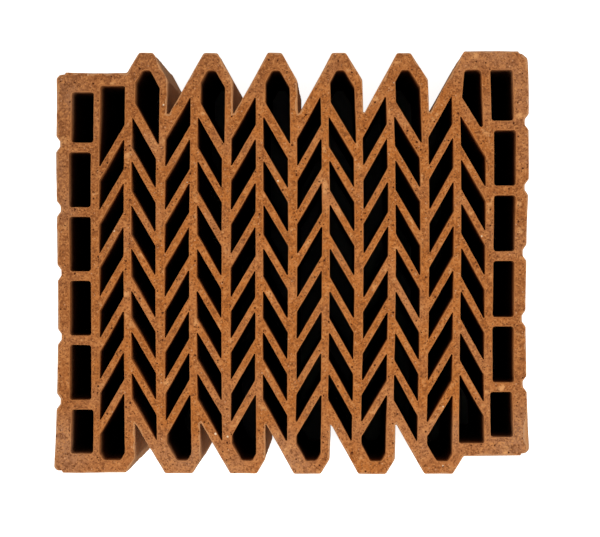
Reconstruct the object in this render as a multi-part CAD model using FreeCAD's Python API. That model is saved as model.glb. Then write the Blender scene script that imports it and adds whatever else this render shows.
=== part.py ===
import FreeCAD, Part
import math
import os

# A hollow clay block, extruded and fired as one piece, all sizes in millimetres.
# +Z runs along the cells, +X across the wall from one plaster face to the other,
# and +Y along the course. The origin is at the middle of the lower bed face.

# Overall sizes
BLOCK_HEIGHT = 238.0
WALL_THICKNESS = 295.0
COURSE_LENGTH = 265.0

# Herringbone cells: columns lean right and left in turn
CELL_WIDTH = 15.4
THIN_WEB = 4.7
THICK_WEB = 5.65
SLOPING_WEB = 4.2
SLOPE_ANGLE = 60.0
ROW_PITCH = 27.5
CLOSE_ROW_PITCH = 26.0
CLOSE_ROWS = 3
FIRST_WEB_DROP = 48.6
LEAST_LOWER_ROOM = 39.0
SHARP_CELL_CORNER = 0.4
BLUNT_CELL_CORNER = 1.5

# Rectangular cells behind the two plaster faces
SHELL = 7.9
EDGE_CELL_WIDTH = 13.6
LEAST_EDGE_WEB = 4.5
EDGE_PITCH = 40.7
EDGE_CROSS_WEB = 6.1
EDGE_WEB_DROP = 2.0
EDGE_END_WALL = 12.0
CORNER_CELL_INSET = 1.5
LEAST_EDGE_CELL = 20.0
EDGE_CELL_CORNER = 1.8

# Plaster keys, shallow grooves down both plaster faces
KEY_MOUTH = 10.0
KEY_FLOOR = 3.6
KEY_DEPTH = 2.4
KEY_CORNER = 1.2

# Teeth of the +Y end
UPPER_SHELF_DROP = 13.4
UPPER_TIP_DROP = 1.0
UPPER_TIP_FLAT = 8.8
UPPER_SHOULDER_DROP = 17.0
UPPER_GROOVE_FLOOR = 0.9
UPPER_GROOVE_WALL = 6.5
UPPER_SIDE_WALL = 5.0
UPPER_TIP_WALL = 10.9
UPPER_CELL_SLOPING_CUT = 7.4
UPPER_CELL_STRAIGHT_CUT = 10.9

# Teeth of the -Y end
LOWER_SHELF_DROP = 11.5
LOWER_TIP_FLAT = 17.2
LOWER_SHOULDER_DROP = 9.4
LOWER_GROOVE_FLOOR = 0.6
LOWER_GROOVE_WALL = 5.8
LOWER_SIDE_WALL = 5.8
LOWER_TIP_WALL = 8.1
LOWER_CELL_SLOPING_CUT = 10.5
LOWER_CELL_STRAIGHT_CUT = 4.4

# Details that both ends share
SHELF_WALL = 8.0
OUTER_CELL_CUT = 4.4
LAST_CELL_WIDTH = 12.4
LAST_CELL_WEB_RISE = 5.0
LAST_CELL_LEAN = 2.2
LAST_CELL_CORNER = 2.8
LAST_CELL_TIP = 1.1
TOOTH_CORNER = 1.6
TOOTH_CELL_CORNER = 2.4
ROOT_CORNER = 0.4
CORNER_RADIUS = 4.0
CORNER_STEP_INSET = 5.2
CORNER_STEP = 1.3
CORNER_STEP_ROUND = 0.5

# Largest share of an edge that a corner's rounding may take
ROUNDING_LIMIT = 0.45

slope = math.tan(math.radians(SLOPE_ANGLE))
upright_share = 1 / math.cos(math.radians(SLOPE_ANGLE))
web_rise = SLOPING_WEB * upright_share

# Columns come in pairs, as many as fit between the rectangular cells
pair_pitch = 2 * CELL_WIDTH + THIN_WEB + THICK_WEB
column_room = WALL_THICKNESS - 2 * (SHELL + EDGE_CELL_WIDTH + LEAST_EDGE_WEB)
pair_count = int((column_room + THICK_WEB) / pair_pitch)
first_column_left = (THICK_WEB - pair_count * pair_pitch) / 2

# Levels along the course
upper_face = COURSE_LENGTH / 2
lower_face = -COURSE_LENGTH / 2
upper_tip = upper_face - UPPER_TIP_DROP
upper_shelf = upper_face - UPPER_SHELF_DROP
lower_shelf = lower_face + LOWER_SHELF_DROP
right_face = WALL_THICKNESS / 2

# Each groove runs back from the tips to where its sloping and straight sides meet
upper_shoulder_reach = UPPER_SHOULDER_DROP / slope
lower_shoulder_reach = LOWER_SHOULDER_DROP / slope
upper_flank_reach = pair_pitch - UPPER_TIP_FLAT - upper_shoulder_reach - UPPER_GROOVE_FLOOR
lower_flank_reach = pair_pitch - LOWER_TIP_FLAT - lower_shoulder_reach - LOWER_GROOVE_FLOOR
upper_root = upper_tip - upper_flank_reach * slope
lower_root = lower_face + lower_flank_reach * slope

# Sloping webs are counted in half rows, because the columns are staggered by half a row
web_room = upper_tip - FIRST_WEB_DROP - lower_face - LEAST_LOWER_ROOM
webs_per_column = int((web_room - CLOSE_ROWS * CLOSE_ROW_PITCH) / ROW_PITCH + CLOSE_ROWS + 0.5)
wide_half_rows = 2 * webs_per_column - 1 - 2 * CLOSE_ROWS


def web_level(half_row):
    """Height of a sloping web's middle, a number of half rows down from the first web."""
    wide = min(half_row, wide_half_rows)
    close = half_row - wide
    return upper_tip - FIRST_WEB_DROP - wide * ROW_PITCH / 2 - close * CLOSE_ROW_PITCH / 2


def rounded_wire(corners):
    """Closed wire through corners given as (x, y, radius), each rounded by a tangent arc."""
    points = [FreeCAD.Vector(x, y, 0) for x, y, radius in corners]
    count = len(points)
    starts = []
    middles = []
    ends = []
    for n, corner in enumerate(points):
        back = points[n - 1] - corner
        ahead = points[(n + 1) % count] - corner
        shorter = min(back.Length, ahead.Length)
        back.normalize()
        ahead.normalize()
        half_angle = back.getAngle(ahead) / 2
        trim = min(corners[n][2] / math.tan(half_angle), ROUNDING_LIMIT * shorter)
        radius = trim * math.tan(half_angle)
        inward = back + ahead
        inward.normalize()
        starts.append(corner + back * trim)
        middles.append(corner + inward * (radius / math.sin(half_angle) - radius))
        ends.append(corner + ahead * trim)
    edges = []
    for n in range(count):
        edges.append(Part.Arc(starts[n], middles[n], ends[n]).toShape())
        edges.append(Part.LineSegment(ends[n], starts[(n + 1) % count]).toShape())
    return Part.Wire(edges)


def column_left(column):
    """Left side of a herringbone column, counted from the -X side."""
    pair = column // 2
    second = column % 2
    return first_column_left + pair * pair_pitch + second * (CELL_WIDTH + THIN_WEB)


def upper_tooth(tooth):
    """Middle of a tooth of the +Y end: it stands over the second column of a pair."""
    return column_left(2 * tooth + 1) + CELL_WIDTH / 2


def lower_tooth(tooth):
    """Middle of a tooth of the -Y end: it stands under the first column of a pair."""
    return column_left(2 * tooth) + CELL_WIDTH / 2


def upper_straight_side(tooth):
    """Straight side of a tooth of the +Y end, where its groove begins."""
    return upper_tooth(tooth) + UPPER_TIP_FLAT / 2 + upper_shoulder_reach


def lower_straight_side(tooth):
    """Straight side of a tooth of the -Y end, where its groove begins."""
    return lower_tooth(tooth) + LOWER_TIP_FLAT / 2 + lower_shoulder_reach


def block_corner(side, end, level):
    """Corners from a plaster face to an end face: a round, then a small step out."""
    face = side * right_face
    inner = face - side * CORNER_STEP_INSET
    return [
        (face, level - end * CORNER_STEP, CORNER_RADIUS),
        (inner, level - end * CORNER_STEP, CORNER_STEP_ROUND),
        (inner, level, CORNER_STEP_ROUND),
    ]


def upper_end():
    """Corners of the +Y end from left to right: a shelf, the teeth and the last tooth's flat."""
    shelf_end = upper_tooth(0) - UPPER_TIP_FLAT / 2 - (upper_tip - upper_shelf) / slope
    corners = [(shelf_end, upper_shelf, TOOTH_CORNER)]
    for tooth in range(pair_count - 1):
        middle = upper_tooth(tooth)
        straight_side = upper_straight_side(tooth)
        corners += [
            (middle - UPPER_TIP_FLAT / 2, upper_tip, TOOTH_CORNER),
            (middle + UPPER_TIP_FLAT / 2, upper_tip, TOOTH_CORNER),
            (straight_side, upper_tip - UPPER_SHOULDER_DROP, TOOTH_CORNER),
            (straight_side, upper_root, ROOT_CORNER),
            (straight_side + UPPER_GROOVE_FLOOR, upper_root, ROOT_CORNER),
        ]
    last_tip = upper_tooth(pair_count - 1) - UPPER_TIP_FLAT / 2
    corners.append((last_tip + UPPER_TIP_DROP / slope, upper_face, TOOTH_CORNER))
    return corners


def lower_end():
    """Corners of the -Y end from right to left: a shelf, the teeth and the last tooth's flat."""
    last_tip = lower_tooth(pair_count - 1) + LOWER_TIP_FLAT / 2
    corners = [(last_tip + LOWER_SHELF_DROP / slope, lower_shelf, TOOTH_CORNER)]
    for tooth in range(pair_count - 1, 0, -1):
        middle = lower_tooth(tooth)
        straight_side = lower_straight_side(tooth - 1)
        corners += [
            (middle + LOWER_TIP_FLAT / 2, lower_face, TOOTH_CORNER),
            (middle - LOWER_TIP_FLAT / 2, lower_face, TOOTH_CORNER),
            (straight_side + LOWER_GROOVE_FLOOR, lower_root, ROOT_CORNER),
            (straight_side, lower_root, ROOT_CORNER),
            (straight_side, lower_face + LOWER_SHOULDER_DROP, TOOTH_CORNER),
        ]
    corners.append((lower_tooth(0) + LOWER_TIP_FLAT / 2, lower_face, TOOTH_CORNER))
    return corners


def edge_lines(low, high):
    """Levels, from low to high, that divide a plaster face evenly about its middle."""
    each_way = int(((high - low) / 2 - EDGE_END_WALL - LEAST_EDGE_CELL) / EDGE_PITCH)
    return [(low + high) / 2 + n * EDGE_PITCH for n in range(-each_way, each_way + 1)]


def key_corners(side, levels):
    """Corners of a plaster face's keys: the outline climbs the left face and descends the right."""
    corners = []
    face = side * right_face
    floor = face - side * KEY_DEPTH
    for level in levels:
        corners += [
            (face, level + side * KEY_MOUTH / 2, KEY_CORNER),
            (floor, level + side * KEY_FLOOR / 2, KEY_CORNER),
            (floor, level - side * KEY_FLOOR / 2, KEY_CORNER),
            (face, level - side * KEY_MOUTH / 2, KEY_CORNER),
        ]
    return corners


def outline():
    """Clockwise outline of the block: left face, +Y end, right face, -Y end."""
    corners = key_corners(-1, edge_lines(lower_face, upper_shelf))
    corners += block_corner(-1, 1, upper_shelf)
    corners += upper_end()
    corners += reversed(block_corner(1, 1, upper_face))
    corners += key_corners(1, reversed(edge_lines(lower_shelf, upper_face)))
    corners += block_corner(1, -1, lower_shelf)
    corners += lower_end()
    corners += reversed(block_corner(-1, -1, lower_face))
    return rounded_wire(corners)


def edge_cells(side, low, high):
    """Rectangular cells of one plaster face, between cross webs set below its keys."""
    webs = [level - EDGE_WEB_DROP for level in edge_lines(low, high)]
    bottoms = [low + EDGE_END_WALL] + [level + EDGE_CROSS_WEB / 2 for level in webs]
    tops = [level - EDGE_CROSS_WEB / 2 for level in webs] + [high - EDGE_END_WALL]
    wires = []
    for n, (bottom, top) in enumerate(zip(bottoms, tops)):
        at_corner = n in (0, len(webs))
        inset = CORNER_CELL_INSET if at_corner else 0.0
        outer = side * (right_face - SHELL - inset)
        inner = outer - side * EDGE_CELL_WIDTH
        wires.append(rounded_wire([
            (outer, bottom, EDGE_CELL_CORNER),
            (outer, top, EDGE_CELL_CORNER),
            (inner, top, EDGE_CELL_CORNER),
            (inner, bottom, EDGE_CELL_CORNER),
        ]))
    return wires


def sloping_edge(left, right, level, lean):
    """Heights at a cell's left and right sides of an edge whose middle is at a level."""
    rise = lean * slope * (right - left) / 2
    return level - rise, level + rise


def sloping_cell(left, top, bottom, lean):
    """Cell with upright sides and two sloping ends, lean 1 rising and -1 falling to the right."""
    right = left + CELL_WIDTH
    left_top, right_top = sloping_edge(left, right, top, lean)
    left_bottom, right_bottom = sloping_edge(left, right, bottom, lean)
    rising = lean > 0
    falling_corner = SHARP_CELL_CORNER if rising else BLUNT_CELL_CORNER
    rising_corner = BLUNT_CELL_CORNER if rising else SHARP_CELL_CORNER
    return rounded_wire([
        (left, left_bottom, falling_corner),
        (left, left_top, rising_corner),
        (right, right_top, falling_corner),
        (right, right_bottom, rising_corner),
    ])


def upper_cell(left, right, top, web_top, left_cut, right_cut):
    """First cell of a falling column: its top is cut back at both corners."""
    left_bottom, right_bottom = sloping_edge(left, right, web_top, -1)
    return rounded_wire([
        (left, left_bottom, BLUNT_CELL_CORNER),
        (left, top - left_cut, TOOTH_CELL_CORNER),
        (left + left_cut / slope, top, TOOTH_CELL_CORNER),
        (right - right_cut / slope, top, TOOTH_CELL_CORNER),
        (right, top - right_cut, TOOTH_CELL_CORNER),
        (right, right_bottom, SHARP_CELL_CORNER),
    ])


def lower_cell(left, right, bottom, web_bottom, left_cut, right_cut):
    """Last cell of a rising column: its bottom is cut back at both corners."""
    left_top, right_top = sloping_edge(left, right, web_bottom, 1)
    return rounded_wire([
        (left, bottom + left_cut, TOOTH_CELL_CORNER),
        (left, left_top, BLUNT_CELL_CORNER),
        (right, right_top, SHARP_CELL_CORNER),
        (right, bottom + right_cut, TOOTH_CELL_CORNER),
        (right - right_cut / slope, bottom, TOOTH_CELL_CORNER),
        (left + left_cut / slope, bottom, TOOTH_CELL_CORNER),
    ])


def shelf_cell(left, flat, web_edge, lean):
    """Cell under a shelf: one square end, and one sloping end against a web."""
    right = left + CELL_WIDTH
    left_edge, right_edge = sloping_edge(left, right, web_edge, lean)
    return rounded_wire([
        (left, left_edge, SHARP_CELL_CORNER),
        (left, flat, BLUNT_CELL_CORNER),
        (right, flat, BLUNT_CELL_CORNER),
        (right, right_edge, BLUNT_CELL_CORNER),
    ])


def corner_cell(left, right, top, web_top):
    """First cell of the last falling column: its left side leans in and its corners are round."""
    left_bottom, right_bottom = sloping_edge(left, right, web_top, -1)
    return rounded_wire([
        (left, left_bottom, BLUNT_CELL_CORNER),
        (left + LAST_CELL_LEAN, top, LAST_CELL_CORNER),
        (right, top, LAST_CELL_CORNER),
        (right, right_bottom, LAST_CELL_TIP),
    ])


def rising_column(pair):
    """Cells of the first column of a pair, which rise to the right."""
    left = column_left(2 * pair)
    right = left + CELL_WIDTH
    webs = [web_level(2 * n + 1) for n in range(webs_per_column)]
    first_web_top = webs[0] + web_rise / 2
    last_web_bottom = webs[-1] - web_rise / 2
    lower_tip = lower_face + LOWER_TIP_WALL
    if pair == 0:
        wires = [shelf_cell(left, upper_shelf - SHELF_WALL, first_web_top, 1)]
        cuts = (OUTER_CELL_CUT, OUTER_CELL_CUT)
        wires.append(lower_cell(left, right, lower_tip, last_web_bottom, *cuts))
    else:
        flank_foot = upper_straight_side(pair - 1) + UPPER_GROOVE_FLOOR
        flank = upper_root + (left + CELL_WIDTH / 2 - flank_foot) * slope
        wires = [sloping_cell(left, flank - UPPER_GROOVE_WALL * upright_share, first_web_top, 1)]
        side = lower_straight_side(pair) - LOWER_SIDE_WALL
        cuts = (LOWER_CELL_SLOPING_CUT, LOWER_CELL_STRAIGHT_CUT)
        wires.append(lower_cell(side - CELL_WIDTH, side, lower_tip, last_web_bottom, *cuts))
    for above, below in zip(webs, webs[1:]):
        wires.append(sloping_cell(left, above - web_rise / 2, below + web_rise / 2, 1))
    return wires


def falling_column(pair):
    """Cells of the second column of a pair, which fall to the right."""
    left = column_left(2 * pair + 1)
    webs = [web_level(2 * n) for n in range(webs_per_column)]
    first_web_top = webs[0] + web_rise / 2
    last_web_bottom = webs[-1] - web_rise / 2
    cell_top = upper_tip - UPPER_TIP_WALL
    if pair == pair_count - 1:
        inset = (CELL_WIDTH - LAST_CELL_WIDTH) / 2
        sides = (left + inset, left + CELL_WIDTH - inset)
        wires = [corner_cell(*sides, cell_top, first_web_top + LAST_CELL_WEB_RISE)]
        wires.append(shelf_cell(left, lower_shelf + SHELF_WALL, last_web_bottom, -1))
    else:
        side = upper_straight_side(pair) - UPPER_SIDE_WALL
        cuts = (UPPER_CELL_SLOPING_CUT, UPPER_CELL_STRAIGHT_CUT)
        wires = [upper_cell(side - CELL_WIDTH, side, cell_top, first_web_top, *cuts)]
        flank_foot = lower_straight_side(pair) + LOWER_GROOVE_FLOOR
        flank = lower_root - (left + CELL_WIDTH / 2 - flank_foot) * slope
        wires.append(sloping_cell(left, last_web_bottom, flank + LOWER_GROOVE_WALL * upright_share, -1))
    for above, below in zip(webs, webs[1:]):
        wires.append(sloping_cell(left, above - web_rise / 2, below + web_rise / 2, -1))
    return wires


def clay_block():
    """The section with all its cells, carried up the height of the block."""
    wires = [outline()]
    wires += edge_cells(-1, lower_face, upper_shelf)
    wires += edge_cells(1, lower_shelf, upper_face)
    for pair in range(pair_count):
        wires += rising_column(pair)
        wires += falling_column(pair)
    section = Part.makeFace(wires, "Part::FaceMakerBullseye")
    return section.extrude(FreeCAD.Vector(0, 0, BLOCK_HEIGHT))


os.makedirs("parts", exist_ok=True)
block = clay_block()
block.exportStep("parts/clay_block.step")
print("clay_block", block.isValid(), len(block.Solids), round(block.Volume), block.BoundBox)
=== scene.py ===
"""Hollow clay block as the photograph shows it: one fired piece in soft studio light.

The block is carried up from its own cross-section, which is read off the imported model. Sizes are
millimetres in the dataclasses below and metres in the scene.
"""
import logging
import math
from dataclasses import dataclass, field
from enum import Enum
from typing import ClassVar

import bpy
import numpy as np
from mathutils import Matrix, Vector
from mathutils.geometry import delaunay_2d_cdt


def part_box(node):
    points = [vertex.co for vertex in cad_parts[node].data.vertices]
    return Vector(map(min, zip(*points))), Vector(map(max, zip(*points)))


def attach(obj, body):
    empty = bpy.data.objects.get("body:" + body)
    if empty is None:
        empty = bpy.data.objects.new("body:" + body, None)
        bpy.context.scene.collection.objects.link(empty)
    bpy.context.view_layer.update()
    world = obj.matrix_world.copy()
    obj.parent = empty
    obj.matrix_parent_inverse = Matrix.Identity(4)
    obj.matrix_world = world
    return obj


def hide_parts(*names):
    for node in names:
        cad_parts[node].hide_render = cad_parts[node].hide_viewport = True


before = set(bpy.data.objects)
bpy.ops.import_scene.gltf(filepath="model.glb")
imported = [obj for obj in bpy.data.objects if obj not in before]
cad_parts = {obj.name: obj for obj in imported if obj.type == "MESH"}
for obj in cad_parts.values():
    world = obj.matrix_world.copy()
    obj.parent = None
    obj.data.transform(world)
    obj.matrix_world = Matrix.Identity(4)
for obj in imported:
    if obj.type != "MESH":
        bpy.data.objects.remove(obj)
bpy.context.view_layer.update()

MM = 0.001  # metres in a millimetre
NODE = "clay_block"
BODY = "root"
LOG = logging.getLogger("clay_block_scene")

CRISP_DEG = 24.0  # faces that turn more than this on each other are shaded apart
WAVE_SPREAD = 0.7, 1.4  # waves lie between these times as close as usual
MIX_FACTOR, MIX_A, MIX_B, MIX_OUT = 0, 6, 7, 2  # colour sockets of the Mix node
INSIDE_ONLY = 1  # a triangulation leaves out what lies outside its loops

Colour = tuple[float, float, float, float]


class Bed(Enum):
    """The two faces the cutting wire leaves, by the share of the height they lie at."""

    LOWER = 0.0
    UPPER = 1.0


class Surface(Enum):
    """How a face of the block was made, by the index of its material."""

    DIE_DRAWN = 0
    CORE_DRAWN = 1
    WIRE_CUT = 2


class Share(Enum):
    """What the mesh tells the materials, by the name of its attribute."""

    DUST = "dust"
    # share of painted shade towards the edges, darker still at the upper left
    SKIN = "skin"
    ARRIS = "arris"


def linear(hex_code: str) -> Colour:
    """Turn an sRGB colour into the linear one the shader takes.

    Args:
        hex_code: Colour as "#RRGGBB".

    Returns:
        Linear red, green and blue with an alpha of 1.
    """
    channels = (int(hex_code[i : i + 2], 16) / 255 for i in (1, 3, 5))
    rgb = [c / 12.92 if c <= 0.04045 else ((c + 0.055) / 1.055) ** 2.4 for c in channels]
    return rgb[0], rgb[1], rgb[2], 1.0


def per_metre(size_mm: float) -> float:
    """Scale a texture needs for features of about the given size in millimetres."""
    return 1.0 / (size_mm * MM)


def spans(places: np.ndarray) -> tuple[np.ndarray, np.ndarray]:
    """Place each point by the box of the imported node.

    Args:
        places: Positions in metres, one row each, of two or three columns.

    Returns:
        Place across, from -1 at the left side to 1 at the right one, and place along, from -1 at
        the lower end to 1 at the upper one.
    """
    low, high = (np.array(corner.xy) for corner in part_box(NODE))
    across, along = ((places[:, :2] - (low + high) / 2) / ((high - low) / 2)).T
    return across, along


def waves(places: np.ndarray, length_mm: float, seed: int, count: int = 16) -> np.ndarray:
    """Smooth seeded unevenness.

    Formula: the sum of plane sine waves of about one length, each with a direction and a phase of
    its own, over the square root of half their number.

    Args:
        places: Positions in metres, one row each, of two or three columns.
        length_mm: Usual distance from crest to crest.
        seed: Picks the directions and phases.
        count: Number of waves.

    Returns:
        One value per row, with a spread of about 1.
    """
    rng = np.random.default_rng(seed)
    way = rng.normal(size=(places.shape[1], count))
    way /= np.linalg.norm(way, axis=0)
    way *= 2 * math.pi / (length_mm * MM) * rng.uniform(*WAVE_SPREAD, count)
    return np.sin(places @ way + rng.uniform(0, 2 * math.pi, count)).sum(1) / math.sqrt(count / 2)


def add_node(
    tree: bpy.types.NodeTree, kind: str, sockets: dict[str | int, object] | None = None, **settings: object
) -> bpy.types.Node:
    """Add one node with its settings and links.

    Args:
        tree: Node tree to add to.
        kind: Type name of the node.
        sockets: Value, or output to link from, by input name or index.
        settings: Properties of the node.

    Returns:
        The new node.
    """
    node = tree.nodes.new(kind)
    for name, value in settings.items():
        setattr(node, name, value)
    for socket, value in (sockets or {}).items():
        if isinstance(value, bpy.types.NodeSocket):
            tree.links.new(value, node.inputs[socket])
        else:
            node.inputs[socket].default_value = value
    return node


@dataclass(frozen=True)
class Mottle:
    """Cloudy pattern in the clay."""

    DETAIL: ClassVar[float] = 4.0  # how often finer clouds are added
    size_mm: float  # of the largest clouds
    harshness: float  # share each finer cloud keeps of the one before

    def build(self, tree: bpy.types.NodeTree, space: bpy.types.NodeSocket) -> bpy.types.NodeSocket:
        """Lay the pattern.

        Args:
            tree: Node tree to add to.
            space: Coordinates to lay it in.

        Returns:
            Output from 0 to 1, about a half on the whole.
        """
        sockets = {"Vector": space, "Scale": per_metre(self.size_mm)}
        sockets |= {"Detail": self.DETAIL, "Roughness": self.harshness}
        return add_node(tree, "ShaderNodeTexNoise", sockets).outputs["Fac"]


@dataclass(frozen=True)
class Specks:
    """Round grains or pits of uneven size."""

    EDGE: ClassVar[float] = 0.35  # share of the largest radius over which a speck comes in
    spacing_mm: float  # usual distance between them
    radius_mm: float  # of the largest
    bare: float  # share of the places left without one

    def build(self, tree: bpy.types.NodeTree, space: bpy.types.NodeSocket) -> bpy.types.NodeSocket:
        """Lay the specks.

        Args:
            tree: Node tree to add to.
            space: Coordinates to lay them in.

        Returns:
            Output that is 1 in a speck and 0 outside it.
        """
        largest = self.radius_mm / self.spacing_mm
        sockets = {"Vector": space, "Scale": per_metre(self.spacing_mm)}
        cells = add_node(tree, "ShaderNodeTexVoronoi", sockets)
        chance = add_node(tree, "ShaderNodeSeparateColor", {"Color": cells.outputs["Color"]}).outputs["Red"]
        sockets = {"Value": chance, "From Min": self.bare, "To Max": largest}
        size = add_node(tree, "ShaderNodeMapRange", sockets).outputs["Result"]
        sockets = {0: size, 1: cells.outputs["Distance"]}
        inside = add_node(tree, "ShaderNodeMath", sockets, operation="SUBTRACT").outputs["Value"]
        sockets = {"Value": inside, "From Max": self.EDGE * largest}
        return add_node(tree, "ShaderNodeMapRange", sockets).outputs["Result"]


@dataclass(frozen=True)
class Layer:
    """A colour that lies over those before it as a pattern goes from one level to another."""

    pattern: str  # name of the pattern it follows
    start: float  # level at which it comes in
    full: float  # level at which there is most of it
    most: float  # its greatest share
    tint: str  # its colour

    def over(
        self,
        tree: bpy.types.NodeTree,
        patterns: dict[str, bpy.types.NodeSocket],
        colour: bpy.types.NodeSocket | Colour,
    ) -> bpy.types.NodeSocket:
        """Lay it over what is there.

        Args:
            tree: Node tree to add to.
            patterns: Output of each pattern by its name.
            colour: What is there.

        Returns:
            Output of the two together.
        """
        sockets = {"Value": patterns[self.pattern], "From Min": self.start, "From Max": self.full}
        share = add_node(tree, "ShaderNodeMapRange", sockets | {"To Max": self.most}).outputs["Result"]
        sockets = {MIX_FACTOR: share, MIX_A: colour, MIX_B: linear(self.tint)}
        return add_node(tree, "ShaderNodeMix", sockets, data_type="RGBA").outputs[MIX_OUT]


@dataclass(frozen=True)
class FiredClay:
    """Coarse brick clay fired to a warm brown, with sand, pits and lime in it.

    The drag stretches the pattern along the height, as a die draws it.
    """

    name: str
    body: str = "#A9622B"  # the fired clay itself
    warm: str = "#B76B2E"  # places with more fine clay
    shade: str = "#6E3E1F"  # sandier places, and the painted shade on the roughness of sand
    pale: str = "#C6844C"  # places rubbed to a fine powder, and the painted light on the roughness of sand
    sand: str = "#552D16"  # dark sand grains
    quartz: str = "#CE9A72"  # pale sand grains
    dust: str = "#B08A6C"  # dusty places
    skin: str = "#77523A"  # painted shade, darker and greyer towards the edges of the block, and darker still at the upper left
    smear_highlight: str = "#DB9C62"  # painted highlight on clay the wire pulled up
    pit: str = "#451B08"  # shadow in a pit
    lime: str = "#EBCDA8"  # lime grains
    cell_shade_tint: str = "#2A2019"  # painted shade down inside the cells
    patches: Mottle = Mottle(11.0, 0.6)
    grain: Mottle = Mottle(5.0, 0.9)
    # pattern of the pale smears of painted highlight
    highlight_smears: Mottle = Mottle(8.0, 0.6)
    granule_mm: float = 0.9
    sand_specks: Specks = Specks(1.5, 0.6, 0.3)
    quartz_specks: Specks = Specks(2.1, 0.6, 0.4)
    pit_specks: Specks = Specks(2.9, 0.85, 0.35)
    lime_specks: Specks = Specks(8.0, 0.9, 0.5)
    drag: float = 1.0
    speckle: float = 1.0  # how strongly the speckle shows
    cell_shade: float = 0.0  # share of the colour lost to painted shade, away from the beds
    cell_shade_from_mm: float = 3.0  # depth it starts at
    cell_shade_full_mm: float = 20.0  # depth it is full at
    bump_mm: float = 0.3
    roughness: float = 0.92
    specular: float = 0.08

    def build(self, height: float) -> bpy.types.Material:
        """Make the material.

        Args:
            height: Distance between the beds in metres.

        Returns:
            The finished node material.
        """
        material = bpy.data.materials.new(self.name)
        material.use_nodes = True
        tree = material.node_tree
        tree.nodes.clear()
        patterns = self.patterns(tree, height)
        colour: bpy.types.NodeSocket | Colour = linear(self.body)
        for layer in self.layers(height):
            colour = layer.over(tree, patterns, colour)
        sockets = {0: patterns["grain"], 1: patterns["pits"]}
        relief = add_node(tree, "ShaderNodeMath", sockets, operation="SUBTRACT").outputs["Value"]
        sockets = {"Height": relief, "Distance": self.bump_mm * MM * self.speckle}
        bump = add_node(tree, "ShaderNodeBump", sockets).outputs["Normal"]
        sockets = {"Base Color": colour, "Normal": bump}
        sockets |= {"Roughness": self.roughness, "Specular IOR Level": self.specular}
        shader = add_node(tree, "ShaderNodeBsdfPrincipled", sockets).outputs["BSDF"]
        add_node(tree, "ShaderNodeOutputMaterial", {"Surface": shader})
        return material

    def patterns(self, tree: bpy.types.NodeTree, height: float) -> dict[str, bpy.types.NodeSocket]:
        """Lay the patterns that the colours follow.

        Args:
            tree: Node tree to add to.
            height: Distance between the beds in metres.

        Returns:
            Output of each pattern by its name.
        """
        space = add_node(tree, "ShaderNodeTexCoord").outputs["Object"]
        sockets = {"Vector": space, "Scale": (1.0, 1.0, 1.0 / self.drag)}
        drawn = add_node(tree, "ShaderNodeMapping", sockets).outputs["Vector"]
        sockets = {"Vector": drawn, "Scale": per_metre(self.granule_mm)}
        mosaic = add_node(tree, "ShaderNodeTexVoronoi", sockets).outputs["Color"]
        granules = add_node(tree, "ShaderNodeSeparateColor", {"Color": mosaic}).outputs["Red"]
        level = add_node(tree, "ShaderNodeSeparateXYZ", {"Vector": space}).outputs["Z"]
        sockets = {0: level, 1: height / 2}
        above = add_node(tree, "ShaderNodeMath", sockets, operation="SUBTRACT").outputs["Value"]
        off_middle = add_node(tree, "ShaderNodeMath", {0: above}, operation="ABSOLUTE").outputs["Value"]
        told = {
            share.value: add_node(tree, "ShaderNodeAttribute", attribute_name=share.value).outputs["Fac"]
            for share in Share
        }
        return told | {
            "patches": self.patches.build(tree, drawn),
            "grain": self.grain.build(tree, drawn),
            "highlight_smears": self.highlight_smears.build(tree, drawn),
            "granules": granules,
            "sand": self.sand_specks.build(tree, drawn),
            "quartz": self.quartz_specks.build(tree, drawn),
            "pits": self.pit_specks.build(tree, space),
            "lime": self.lime_specks.build(tree, space),
            "off_middle": off_middle,
        }

    def layers(self, height: float) -> tuple[Layer, ...]:
        """Choose the colours over the body, each over the ones before it.

        Args:
            height: Distance between the beds in metres.

        Returns:
            The layers, the lowest first.
        """
        bold = self.speckle
        shade_starts_at, shade_full_at = (height / 2 - depth_mm * MM for depth_mm in (self.cell_shade_from_mm, self.cell_shade_full_mm))
        return (
            Layer("patches", 0.4, 0.7, 0.8, self.warm),  # the brown wanders from place to place
            Layer(Share.SKIN.value, 0.0, 1.0, 1.0, self.skin),  # painted shade, duller towards the edges of the block where the light falls off; darker still at the upper left
            Layer(Share.DUST.value, 0.0, 1.0, 1.0, self.dust),  # a powdery bloom where it was rubbed
            Layer("grain", 0.5, 0.33, 0.7 * bold, self.shade),  # close mottling, darker
            Layer("grain", 0.52, 0.66, 0.65 * bold, self.pale),  # and paler
            Layer("granules", 0.4, 0.0, 0.75 * bold, self.shade),  # the roughness of sand, in shade
            Layer("granules", 0.7, 1.0, 0.6 * bold, self.pale),  # and in light
            Layer("highlight_smears", 0.6, 0.72, 0.7 * bold, self.smear_highlight),  # a few pale smears, painted highlight on clay the wire pulled up
            Layer("quartz", 0.0, 1.0, 0.6 * bold, self.quartz),  # glints of paler sand
            Layer("sand", 0.0, 1.0, 0.75 * bold, self.sand),  # fine dark speckle
            Layer("pits", 0.0, 1.0, 0.9 * bold, self.pit),  # painted shadow in the pits of a sandy clay
            Layer("lime", 0.0, 1.0, 0.9 * bold, self.lime),  # here and there a white dot
            Layer(Share.ARRIS.value, 0.0, 1.0, 0.6, self.pale),  # arrises rubbed pale
            Layer("off_middle", shade_starts_at, shade_full_at, self.cell_shade, self.cell_shade_tint),  # painted shade: cells go dark a little way in
        )


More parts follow.
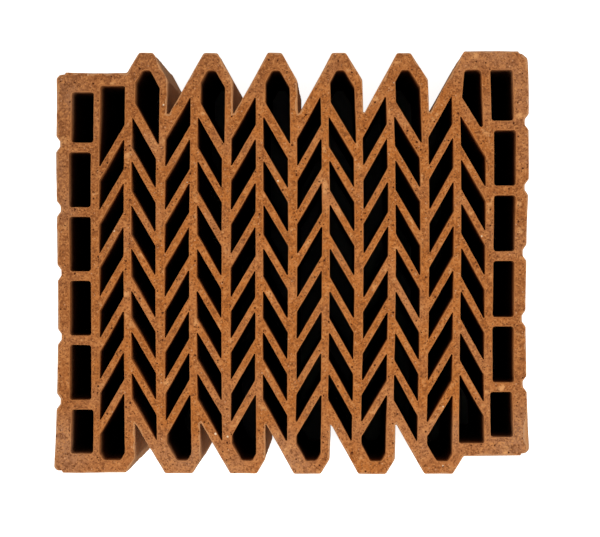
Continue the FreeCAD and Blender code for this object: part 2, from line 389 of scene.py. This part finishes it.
@dataclass(frozen=True)
class Spot:
    """A place on the section where something is strongest."""

    x_mm: float
    y_mm: float
    reach_mm: float
    most: float

    def strength(self, places: np.ndarray) -> np.ndarray:
        """How strong it is at each place.

        Formula: the most there is, times e to the power of minus the squared distance from the
        middle in reaches.

        Args:
            places: Positions in metres, one row each.

        Returns:
            One value per row.
        """
        away = np.linalg.norm(places[:, :2] / MM - (self.x_mm, self.y_mm), axis=1)
        return self.most * np.exp(-((away / self.reach_mm) ** 2))


@dataclass(frozen=True)
class BrokenCorner:
    """An outer corner with its tip gone."""

    across: int  # 1 for a corner on the right, -1 for one on the left
    along: int  # 1 for a corner at the upper end, -1 for one at the lower end
    deep_mm: float  # how far in the break lies


@dataclass
class Section:
    """Cross-section of the block: closed loops in flat arrays, each loop's points in a run.

    The clay lies to the left of every step from a point to the one after it.
    """

    LEVEL_MM: ClassVar[float] = 0.01  # what lies this near the bed is on it
    JOIN_MM: ClassVar[float] = 0.001  # points this near each other are one
    PART_STEP: ClassVar[float] = 1e-6  # part of a step that needs no point of its own
    LONGEST_MITRE: ClassVar[float] = 1.5
    LEAST_PINCH: ClassVar[float] = 1e-3
    NEAR_NEIGHBOURS: ClassVar[int] = 3
    points: np.ndarray
    loop: np.ndarray
    after: np.ndarray = field(init=False)
    before: np.ndarray = field(init=False)

    def __post_init__(self) -> None:
        """Find the neighbours of every point round its loop."""
        count = len(self.loop)
        first = self.first()
        last = np.r_[first[1:], count] - 1
        self.after = np.arange(count) + 1
        self.after[last] = first
        self.before = np.empty(count, int)
        self.before[self.after] = np.arange(count)

    @classmethod
    def of_node(cls, node: bpy.types.Object) -> "Section":
        """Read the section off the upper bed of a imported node.

        The triangles of the upper bed are joined at equal places, and the edges that only one
        triangle has are the loops. Each loop is put in order by jumping twice as far each time.

        Args:
            node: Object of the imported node, which is left as it is.

        Returns:
            The section, in metres.
        """
        mesh = node.data
        places = np.empty(3 * len(mesh.vertices), np.float32)
        mesh.vertices.foreach_get("co", places)
        places = places.reshape(-1, 3).astype(float)
        corners = np.empty(len(mesh.loops), np.int32)
        mesh.loops.foreach_get("vertex_index", corners)
        corners = corners.reshape(-1, 3)
        upper = places[:, 2].max()
        corners = corners[(places[corners][:, :, 2] > upper - cls.LEVEL_MM * MM).all(1)]
        grid = np.round(places[corners.ravel(), :2] / (cls.JOIN_MM * MM)).astype(int)
        spots, number = np.unique(grid, axis=0, return_inverse=True)
        corners = number.reshape(-1, 3)
        edges = np.concatenate([corners[:, [0, 1]], corners[:, [1, 2]], corners[:, [2, 0]]])
        count = len(spots)
        rim = edges[~np.isin(edges[:, 0] * count + edges[:, 1], edges[:, 1] * count + edges[:, 0])]
        after = np.arange(count)
        after[rim[:, 0]] = rim[:, 1]
        turns = math.ceil(math.log2(count)) + 1
        head, jump = np.arange(count), after.copy()
        for _ in range(turns):
            head, jump = np.minimum(head, head[jump]), jump[jump]
        tail = after == head
        jump = np.where(tail, np.arange(count), after)
        left = np.where(tail, 0, 1)
        for _ in range(turns):
            left, jump = left + left[jump], jump[jump]
        order = np.lexsort((-left, head))
        loop = np.unique(head[order], return_inverse=True)[1]
        return cls(spots[order] * (cls.JOIN_MM * MM), loop)

    def first(self) -> np.ndarray:
        """Index of the first point of each loop."""
        return np.flatnonzero(np.r_[True, self.loop[1:] != self.loop[:-1]])

    def outer(self) -> np.ndarray:
        """Tell the outline from the cells.

        Returns:
            True for each point on the outline, which goes round the other way from the cells.
        """
        a, b = self.points, self.points[self.after]
        swept = np.bincount(self.loop, a[:, 0] * b[:, 1] - a[:, 1] * b[:, 0])
        return swept[self.loop] > 0

    def part(self, chosen: np.ndarray) -> "Section":
        """Some of the points on their own.

        Args:
            chosen: True for each point to keep.

        Returns:
            A section of the chosen points, each in its loop.
        """
        return Section(self.points[chosen], np.unique(self.loop[chosen], return_inverse=True)[1])

    def refined(self, step_mm: float) -> "Section":
        """Put points on the long edges.

        Args:
            step_mm: Longest edge to leave.

        Returns:
            The same loops with more points.
        """
        edge = self.points[self.after] - self.points
        steps = np.linalg.norm(edge, axis=1) / (step_mm * MM)
        pieces = np.maximum(1, np.ceil(steps - self.PART_STEP)).astype(int)
        source = np.repeat(np.arange(len(pieces)), pieces)
        share = (np.arange(len(source)) - np.repeat(np.cumsum(pieces) - pieces, pieces)) / pieces[source]
        return Section(self.points[source] + edge[source] * share[:, None], self.loop[source])

    def thinned(self, step_mm: float) -> "Section":
        """Drop points that crowd each other.

        Formula: the way round from the first point is cut into lengths of one step, and the first
        point in each length stays.

        Args:
            step_mm: Length of a step.

        Returns:
            The same loops with fewer points.
        """
        length = np.linalg.norm(self.points - self.points[self.before], axis=1)
        number = np.floor(np.cumsum(length) / (step_mm * MM))
        return self.part(np.r_[True, number[1:] != number[:-1]])

    def worn(self, passes: int) -> "Section":
        """Rub the corners that stand out.

        Formula: each pass moves a point half of the way to the middle of its two neighbours, where
        that takes it into the clay.

        Args:
            passes: How often to rub.

        Returns:
            The same loops with rounder corners.
        """
        rubbed = Section(self.points.copy(), self.loop)
        for _ in range(passes):
            pull = (rubbed.points[self.after] + rubbed.points[self.before]) / 2 - rubbed.points
            inward = (pull * rubbed.outward()).sum(1) < 0
            rubbed.points += np.where(inward[:, None], pull / 2, 0.0)
        return rubbed

    def broken(self, corner: BrokenCorner) -> "Section":
        """Break the tip off one outer corner.

        Formula: the points that stand further out along the corner's diagonal than a line some way
        in from the farthest of them are drawn straight back to that line.

        Args:
            corner: Which corner, and how far in the line lies.

        Returns:
            The same loops with that corner broken.
        """
        way = np.array([corner.across, corner.along]) / math.sqrt(2)
        reach = self.points @ way
        over = np.maximum(reach - reach.max() + corner.deep_mm * MM, 0.0)
        return Section(self.points - over[:, None] * way, self.loop)

    def outward(self) -> np.ndarray:
        """Directions out of the clay, longer at a corner so that an even border stays even.

        Returns:
            One vector per point.
        """
        edge = self.points[self.after] - self.points
        edge /= np.linalg.norm(edge, axis=1)[:, None]
        both = edge + edge[self.before]
        size = np.linalg.norm(both, axis=1)
        way = np.stack([both[:, 1], -both[:, 0]], axis=1) / size[:, None]
        return way * np.minimum(2 / size, self.LONGEST_MITRE)[:, None]

    def room(self) -> np.ndarray:
        """How far the loops may move into the clay before a rounded corner folds over.

        Formula: the length of an edge over the sum of the tangents of half the turns at its ends,
        where the turns close on each other; the least over a point and its near neighbours.

        Returns:
            One distance per point, in metres.
        """
        edge = self.points[self.after] - self.points
        past = edge[self.before]
        cross = past[:, 0] * edge[:, 1] - past[:, 1] * edge[:, 0]
        pinch = np.tan(np.arctan2(cross, (past * edge).sum(1)) / 2)
        pinch = np.maximum(pinch + pinch[self.after], self.LEAST_PINCH)
        room = np.linalg.norm(edge, axis=1) / pinch
        for _ in range(self.NEAR_NEIGHBOURS):
            room = np.minimum(room, np.minimum(room[self.before], room[self.after]))
        return room


@dataclass(frozen=True)
class FiringWarp:
    """How drying and firing moved the clay from the drawn section.

    Formula: u goes from -1 at the left side to 1 at the right one, and v from -1 at the lower end
    to 1 at the upper one. The bow of u or v is 1 at both ends and -1/2 in the middle, the sway is
    1 at one end and -1 at the other and turns back between them: their second and third Legendre
    polynomials. Each move is its size times what is said beside it.
    """

    wider_mm: float = 0.4  # to the right by u: the sides lie further out
    lean_mm: float = 0.2  # by v: the upper end lies to the right
    bent_mm: float = -0.3  # by the bow of v: both ends lie to the left
    swayed_mm: float = -0.2  # by the sway of v
    belly_mm: float = 0.6  # by both bows: the corners lie to the right
    waist_mm: float = -0.9  # by u and the bow of v: the columns close up at the ends
    side_waist_mm: float = 2.1  # by the sway of u and the bow of v: the sides flare there
    twist_mm: float = -0.8  # by u and the sway of v
    side_twist_mm: float = -0.5  # by both sways
    longer_mm: float = 0.2  # towards the upper end by v: the ends lie further out
    row_bow_mm: float = 0.2  # by the bow of u: the rows rise to both sides
    taper_mm: float = 0.8  # by u and v: the right side is the longer one
    row_tilt_mm: float = -0.2  # by u and the bow of v: the rows tilt
    taper_turn_mm: float = -0.7  # by u and the sway of v

    def shift(self, flat: np.ndarray) -> np.ndarray:
        """Shift of each place.

        Args:
            flat: Places on the section, in metres.

        Returns:
            Shifts in metres, one row per place.
        """
        u, v = spans(flat)
        bow_u, bow_v = (3 * u**2 - 1) / 2, (3 * v**2 - 1) / 2
        sway_u, sway_v = (5 * u**3 - 3 * u) / 2, (5 * v**3 - 3 * v) / 2
        across = (
            self.wider_mm * u
            + self.lean_mm * v
            + self.bent_mm * bow_v
            + self.swayed_mm * sway_v
            + self.belly_mm * bow_u * bow_v
            + (self.waist_mm * u + self.side_waist_mm * sway_u) * bow_v
            + (self.twist_mm * u + self.side_twist_mm * sway_u) * sway_v
        )
        along = (
            self.longer_mm * v
            + self.row_bow_mm * bow_u
            + (self.taper_mm * v + self.row_tilt_mm * bow_v + self.taper_turn_mm * sway_v) * u
        )
        return MM * np.stack([across, along], axis=1)


@dataclass(frozen=True)
class WallForm:
    """Make of one kind of wall."""

    run_mm: float  # the worn arris, in from the wall
    drop_mm: float  # the worn arris, down from the bed
    arris_rings: int
    middle_rings: int
    wave_mm: float  # unevenness of the wall


@dataclass
class Walls:
    """Loops of the section carried from bed to bed, with a worn arris at each.

    Formula: a ring at the angle t of the arris lies in from the wall by run (1 - cos t) and short
    of the bed by drop (1 - sin t); between the arrises the rings are evenly spaced. A ring is as
    much part of an arris as the sine of 2 t says, which is 1 half-way round it.
    """

    WEAR_LENGTH_MM: ClassVar[float] = 9.0
    WEAR_SPREAD: ClassVar[float] = 0.45
    WEAR_LIMITS: ClassVar[tuple[float, float]] = 0.35, 2.2
    ROOM_USED: ClassVar[float] = 0.7  # share of the room at a corner that wear may take
    WAVE_LENGTH_MM: ClassVar[float] = 45.0
    section: Section
    form: WallForm
    seed: int
    chips: tuple[Spot, ...] = ()  # depths in millimetres
    rings: np.ndarray = field(init=False)
    arris: np.ndarray = field(init=False)

    def build(self, height: float) -> None:
        """Lay out the rings.

        Args:
            height: Distance between the beds in metres.
        """
        flat, form = self.section.points, self.form
        wear = np.clip(1 + self.WEAR_SPREAD * waves(flat, self.WEAR_LENGTH_MM, self.seed), *self.WEAR_LIMITS)
        chipped = sum(chip.strength(flat) for chip in self.chips)
        run, drop = MM * (form.run_mm * wear + chipped), MM * (form.drop_mm * wear + chipped)
        run = np.minimum(run, self.ROOM_USED * self.section.room())
        angle = np.linspace(0, math.pi / 2, form.arris_rings + 1)
        bend = np.r_[angle[::-1], np.zeros(form.middle_rings), angle][:, None]
        middle = np.linspace(0, 1, form.middle_rings + 2)[1:-1]
        share = np.r_[np.zeros(len(angle)), middle, np.ones(len(angle))][:, None]
        z = drop + share * (height - 2 * drop) + (2 * share - 1) * drop * np.sin(bend)
        inset = run * (1 - np.cos(bend))
        xy = flat - inset[:, :, None] * self.section.outward()
        self.rings = np.concatenate([xy, z[:, :, None]], axis=2)
        self.arris = np.broadcast_to(np.sin(2 * bend), z.shape)
        bulge = form.wave_mm * MM * waves(self.rings.reshape(-1, 3), self.WAVE_LENGTH_MM, self.seed + 1)
        self.rings[:, :, :2] += bulge.reshape(z.shape)[:, :, None] * self.section.outward()

    def quads(self, start: int) -> np.ndarray:
        """Faces between neighbouring rings.

        Args:
            start: Index of the first vertex of the first ring.

        Returns:
            Four vertex indices per face, with the outside of the clay in front.
        """
        levels, count = self.rings.shape[:2]
        low = start + count * np.arange(levels - 1)[:, None]
        high = low + count
        here, there = np.arange(count), self.section.after
        return np.stack([low + here, low + there, high + there, high + here], axis=2).reshape(-1, 4)

    def ring(self, bed: Bed, start: int) -> np.ndarray:
        """Vertex indices of the ring at a bed.

        Args:
            bed: Which bed.
            start: Index of the first vertex of the first ring.

        Returns:
            One index per point of the section.
        """
        levels, count = self.rings.shape[:2]
        return start + int(bed.value * (levels - 1)) * count + np.arange(count)


@dataclass
class ClayBlock:
    """The block: an outline and its cells as one closed skin."""

    CAP_JOIN_MM: ClassVar[float] = 1e-5  # points of a bed this near each other are one
    CELL_SEED: ClassVar[int] = 10
    BED_SEED: ClassVar[int] = 20
    DUST_SEED: ClassVar[int] = 30
    finishes: dict[Surface, FiredClay]
    warp: FiringWarp
    outline_form: WallForm = WallForm(run_mm=0.8, drop_mm=0.9, arris_rings=3, middle_rings=24, wave_mm=0.12)
    cell_form: WallForm = WallForm(run_mm=0.6, drop_mm=0.7, arris_rings=2, middle_rings=1, wave_mm=0.05)
    outline_step_mm: float = 1.7
    cell_step_mm: float = 2.6
    rub_passes: int = 2
    broken_corners: tuple[BrokenCorner, ...] = (
        BrokenCorner(1, 1, 1.5),
        BrokenCorner(1, -1, 1.0),
        BrokenCorner(-1, 1, 0.5),
        BrokenCorner(-1, -1, 0.4),
    )
    chips: tuple[Spot, ...] = (Spot(146.0, -109.0, 11.0, 2.9), Spot(143.0, 128.0, 7.0, 1.4))
    bed_wave_mm: float = 0.12
    bed_wave_length_mm: float = 16.0
    dust_spots: tuple[Spot, ...] = (
        Spot(132.0, 122.0, 24.0, 0.3),
        Spot(144.0, -112.0, 14.0, 0.5),
        Spot(100.0, -118.0, 40.0, 0.25),
        Spot(-60.0, -130.0, 45.0, 0.25),
        Spot(10.0, -135.0, 40.0, 0.25),
        Spot(-143.0, -118.0, 18.0, 0.45),
    )
    dust_spread: float = 0.08  # dust that comes and goes all over
    dust_length_mm: float = 30.0
    dust_most: float = 0.8
    edge_shade_from: float = 0.7  # place across or along at which the painted shade towards the edges starts
    edge_shade_share: float = 0.35
    corner_from: float = 0.3  # place towards the upper left corner at which it starts to grow darker still
    corner_share: float = 0.5
    seed: int = 4
    piece: bpy.types.Object = field(init=False)
    footprint: np.ndarray = field(init=False)

    def build(self) -> bpy.types.Object:
        """Make the mesh of the block.

        Returns:
            The new object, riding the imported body.
        """
        low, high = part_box(NODE)
        height = high.z - low.z
        outline, cells = self.walls(height)
        split = outline.rings.shape[0] * outline.rings.shape[1]
        places = np.concatenate([outline.rings.reshape(-1, 3), cells.rings.reshape(-1, 3)])
        shell, tubes = outline.quads(0), cells.quads(split)
        rims = {bed: np.concatenate([outline.ring(bed, 0), cells.ring(bed, split)]) for bed in Bed}
        steps = np.concatenate([outline.section.after, cells.section.after + len(outline.section.after)])
        beds = np.concatenate([self.cap(places, rims[bed], outline, cells, bed) for bed in Bed])
        places[:, :2] += self.warp.shift(places[:, :2])
        uneven = waves(places[:, :2], self.bed_wave_length_mm, self.seed + self.BED_SEED)
        dent = np.abs(uneven) * self.bed_wave_mm * MM
        places[:, 2] += dent * np.where(places[:, 2] > height / 2, -1, 1)
        mesh = bpy.data.meshes.new("clay_block_skin")
        mesh.from_pydata(places, [], shell.tolist() + tubes.tolist() + beds.tolist())
        mesh.polygons.foreach_set("use_smooth", np.ones(len(mesh.polygons), bool))
        made = np.repeat([surface.value for surface in Surface], (len(shell), len(tubes), len(beds)))
        mesh.polygons.foreach_set("material_index", made.astype(np.int32))
        self.mark_rims(mesh, list(rims.values()), steps)
        shares = {
            Share.DUST: self.dusty(places),
            Share.SKIN: self.painted_edge_shade(places),
            Share.ARRIS: np.concatenate([outline.arris.ravel(), cells.arris.ravel()]),
        }
        for share, values in shares.items():
            attribute = mesh.attributes.new(share.value, "FLOAT", "POINT")
            attribute.data.foreach_set("value", values.astype(np.float32))
        mesh.update()
        self.footprint = places[outline.ring(Bed.LOWER, 0), :2]
        self.piece = bpy.data.objects.new("fired_clay_block", mesh)
        bpy.context.scene.collection.objects.link(self.piece)
        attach(self.piece, BODY)
        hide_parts(NODE)
        return self.piece

    def walls(self, height: float) -> tuple[Walls, Walls]:
        """Carry the section up from bed to bed.

        Args:
            height: Distance between the beds in metres.

        Returns:
            The outline and the cells.
        """
        section = Section.of_node(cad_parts[NODE])
        outer = section.outer()
        rounded = section.part(outer).refined(self.outline_step_mm)
        for corner in self.broken_corners:
            rounded = rounded.broken(corner)
        rounded = rounded.worn(self.rub_passes).thinned(self.outline_step_mm / 2)
        outline = Walls(rounded, self.outline_form, self.seed, self.chips)
        inner = section.part(~outer).refined(self.cell_step_mm)
        cells = Walls(inner, self.cell_form, self.seed + self.CELL_SEED)
        outline.build(height)
        cells.build(height)
        return outline, cells

    def cap(
        self, places: np.ndarray, rim: np.ndarray, outline: Walls, cells: Walls, bed: Bed
    ) -> np.ndarray:
        """Triangles of a bed, between the outline and the cells.

        The outline and the cells are triangulated together, and the triangles that came from the
        outline alone are the clay.

        Args:
            places: All vertices.
            rim: Vertex indices of the bed's rings, outline first.
            outline: Walls of the outline.
            cells: Walls of the cells.
            bed: Which bed.

        Returns:
            Three vertex indices per face, with the outside of the clay in front.
        """
        flat = [Vector(p) for p in (places[rim, :2] / MM).tolist()]
        count = len(outline.section.loop)
        runs = np.split(np.arange(count, len(rim)), cells.section.first()[1:])
        loops = [list(range(count))] + [run[::-1].tolist() for run in runs]
        _, _, corners, _, _, came = delaunay_2d_cdt(flat, [], loops, INSIDE_ONLY, self.CAP_JOIN_MM)
        clay = np.array([three for three, source in zip(corners, came) if source == [0]])
        return rim[clay if bed is Bed.UPPER else clay[:, ::-1]]

    @staticmethod
    def mark_rims(mesh: bpy.types.Mesh, rims: list[np.ndarray], steps: np.ndarray) -> None:
        """Keep the beds flat to the eye by a crease round every loop, and corners crisp.

        Args:
            mesh: Mesh of the block.
            rims: Vertex indices round the loops, for each bed.
            steps: Place of the next point round the loop, in the same order.
        """
        count = len(mesh.vertices)
        ends = np.empty(2 * len(mesh.edges), np.int32)
        mesh.edges.foreach_get("vertices", ends)
        ends = np.sort(ends.reshape(-1, 2).astype(np.int64), axis=1)
        rim = np.concatenate([np.stack([r, r[steps]], axis=1) for r in rims]).astype(np.int64)
        rim = np.sort(rim, axis=1)
        crease = np.isin(ends[:, 0] * count + ends[:, 1], rim[:, 0] * count + rim[:, 1])
        mesh.set_sharp_from_angle(angle=math.radians(CRISP_DEG))
        crisp = np.empty(len(mesh.edges), bool)
        mesh.edges.foreach_get("use_edge_sharp", crisp)
        mesh.edges.foreach_set("use_edge_sharp", crisp | crease)

    def dusty(self, places: np.ndarray) -> np.ndarray:
        """Where the clay is rubbed pale.

        Formula: a slight unevenness all over plus the spots of dust, no less than none and no more
        than the most.

        Args:
            places: All vertices.

        Returns:
            Share of dust at each vertex, from 0 to 1.
        """
        share = self.dust_spread * waves(places, self.dust_length_mm, self.seed + self.DUST_SEED)
        share += sum(spot.strength(places) for spot in self.dust_spots)
        return np.clip(share, 0, self.dust_most)

    def painted_edge_shade(self, places: np.ndarray) -> np.ndarray:
        """Where the clay is painted darker: as shade towards the edges, where the light falls off, and
        darker still towards the upper left.

        Formula: one share grows evenly from the start of the shell to the sides and the upper end,
        and another from its own start towards the upper left corner.

        Args:
            places: All vertices.

        Returns:
            Share of the painted darkening at each vertex, from 0 to 1.
        """
        u, v = spans(places)
        shell = np.clip((np.maximum(np.abs(u), v) - self.edge_shade_from) / (1 - self.edge_shade_from), 0, 1)
        corner = np.clip((v - u) / 2 - self.corner_from, 0, 1)
        return self.edge_shade_share * shell + self.corner_share * corner

    def dress(self) -> None:
        """Give the faces their materials, in the order of their indices."""
        height = self.piece.dimensions.z
        for surface in Surface:
            self.piece.data.materials.append(self.finishes[surface].build(height))


@dataclass
class Floor:
    """Plain pale floor that stays white round the block and keeps its shadow.

    The part the block stands on has no glow, so the cells stay dark to the bottom.
    """

    JOIN: ClassVar[float] = 1e-6  # points this near each other, in metres, are one
    footprint: np.ndarray  # outline of the block on the floor, in metres
    side_mm: float = 9000.0
    paint: str = "#ECEAE6"
    glow: float = 0.85

    def build(self) -> bpy.types.Object:
        """Make the floor: a square, with the block's outline cut into it.

        Returns:
            The floor.
        """
        square = np.array([(-1, -1), (1, -1), (1, 1), (-1, 1)]) * self.side_mm * MM / 2
        places = [Vector(p) for p in np.concatenate([square, self.footprint]).tolist()]
        loops = [list(range(len(square))), list(range(len(square), len(places)))]
        flat, _, faces, _, _, came = delaunay_2d_cdt(places, [], loops, INSIDE_ONLY, self.JOIN)
        covered = np.array([len(source) - 1 for source in came], np.int32)
        mesh = bpy.data.meshes.new("floor")
        mesh.from_pydata([(p.x, p.y, 0.0) for p in flat], [], faces)
        mesh.polygons.foreach_set("material_index", covered)
        mesh.materials.append(self.finish("matt white studio paint", self.glow))
        mesh.materials.append(self.finish("matt white studio paint, covered", 0.0))
        floor = bpy.data.objects.new("floor", mesh)
        bpy.context.scene.collection.objects.link(floor)
        return floor

    def finish(self, name: str, glow: float) -> bpy.types.Material:
        """Make the matt paint.

        Args:
            name: Name of the material.
            glow: Light it adds towards the camera, where 1 is white.

        Returns:
            The finished node material.
        """
        material = bpy.data.materials.new(name)
        material.use_nodes = True
        tree = material.node_tree
        tree.nodes.clear()
        shader = add_node(tree, "ShaderNodeBsdfDiffuse", {"Color": linear(self.paint)}).outputs["BSDF"]
        if glow:
            seen = add_node(tree, "ShaderNodeLightPath").outputs["Is Camera Ray"]
            strength = add_node(tree, "ShaderNodeMath", {0: seen, 1: glow}, operation="MULTIPLY")
            sockets = {"Strength": strength.outputs["Value"]}
            light = add_node(tree, "ShaderNodeEmission", sockets).outputs["Emission"]
            shader = add_node(tree, "ShaderNodeAddShader", {0: shader, 1: light}).outputs["Shader"]
        add_node(tree, "ShaderNodeOutputMaterial", {"Surface": shader})
        return material


@dataclass(frozen=True)
class Panel:
    """Square soft light that faces the block."""

    name: str
    place_mm: tuple[float, float, float]  # of its middle
    watts: float
    side_mm: float = 700.0

    def build(self) -> bpy.types.Object:
        """Hang the panel.

        Returns:
            The light.
        """
        lamp = bpy.data.lights.new(self.name, "AREA")
        lamp.size = self.side_mm * MM
        lamp.energy = self.watts
        holder = bpy.data.objects.new(self.name, lamp)
        holder.location = Vector(self.place_mm) * MM
        holder.rotation_euler = (-holder.location).to_track_quat("-Z", "Y").to_euler()
        bpy.context.scene.collection.objects.link(holder)
        return holder


@dataclass
class Studio:
    """Soft light from all round with two large panels, before a backdrop that is white to the camera."""

    white: str = "#FFFFFF"
    sky: float = 0.42  # light of the backdrop on the block, where 1 is white
    panels: tuple[Panel, ...] = (
        Panel("right panel", (850.0, -250.0, 1600.0), 13.5),
        Panel("left panel", (-850.0, -250.0, 1600.0), 10.4),
    )

    def build(self) -> None:
        """Set the world's light and hang the panels."""
        world = bpy.data.worlds.new("studio")
        bpy.context.scene.world = world
        world.use_nodes = True
        tree = world.node_tree
        tree.nodes.clear()
        seen = add_node(tree, "ShaderNodeLightPath").outputs["Is Camera Ray"]
        sockets = {"Value": seen, "To Min": self.sky, "To Max": 1.0}
        level = add_node(tree, "ShaderNodeMapRange", sockets).outputs["Result"]
        sockets = {"Color": linear(self.white), "Strength": level}
        sky = add_node(tree, "ShaderNodeBackground", sockets).outputs["Background"]
        add_node(tree, "ShaderNodeOutputWorld", {"Surface": sky})
        for panel in self.panels:
            panel.build()


@dataclass
class PhotoCamera:
    """Camera almost straight above the block, as far off as the cells' depth tells."""

    over_mm: tuple[float, float] = (26.5, 0.0)  # point of the bed it stands over
    aim_mm: tuple[float, float] = (5.0, -3.8)  # point of the bed in the middle of the picture
    stand_off_mm: float = 1990.0  # above the upper bed
    picture_px: float = 600.0  # width of the picture
    mm_per_px: float = 0.628  # on the upper bed
    sight_m: float = 100.0  # as far as it sees

    def build(self) -> bpy.types.Object:
        """Make the camera and use it.

        Returns:
            The camera.
        """
        bed = Vector((0, 0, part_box(NODE)[1].z))
        camera = bpy.data.cameras.new("camera")
        camera.lens = camera.sensor_width * self.stand_off_mm / (self.picture_px * self.mm_per_px)
        camera.clip_end = self.sight_m
        holder = bpy.data.objects.new("camera", camera)
        holder.location = Vector((*self.over_mm, self.stand_off_mm)) * MM + bed
        aim = Vector((*self.aim_mm, 0.0)) * MM + bed
        back = (holder.location - aim).normalized()
        up_the_picture = Vector((0, 1, 0))
        right = up_the_picture.cross(back).normalized()
        holder.rotation_euler = Matrix((right, back.cross(right), back)).transposed().to_euler()
        bpy.context.scene.collection.objects.link(holder)
        bpy.context.scene.camera = holder
        return holder


def main() -> None:
    """Build and dress the block, then the stage round it."""
    logging.basicConfig(level=logging.INFO, format="%(name)s: %(message)s")
    bpy.context.scene.view_settings.view_transform = "Standard"
    finishes = {
        # Greyer and paler than the beds, partly as die-drawn clay is and partly as painted light bounced
        # from the white floor; smooth, with faint streaks up the walls.
        Surface.DIE_DRAWN: FiredClay(
            "fired clay, die-drawn", body="#BE8A5E", warm="#C29065", skin="#A57D5E", drag=2.0, speckle=0.4
        ),
        # As warm as the beds at the rim of a cell, with painted shade darkening it further down.
        Surface.CORE_DRAWN: FiredClay("fired clay, core-drawn", drag=3.0, speckle=0.4, cell_shade=0.65),
        # Rough and speckled, with the grain of the clay cut open.
        Surface.WIRE_CUT: FiredClay("fired clay, wire-cut", speckle=1.04),
    }
    block = ClayBlock(finishes=finishes, warp=FiringWarp())
    piece = block.build()
    block.dress()
    mesh = piece.data
    mesh.calc_loop_triangles()
    LOG.info("%s: %d vertices, %d triangles", piece.name, len(mesh.vertices), len(mesh.loop_triangles))
    Floor(block.footprint).build()
    Studio().build()
    PhotoCamera().build()


if __name__ == "__main__":
    main()
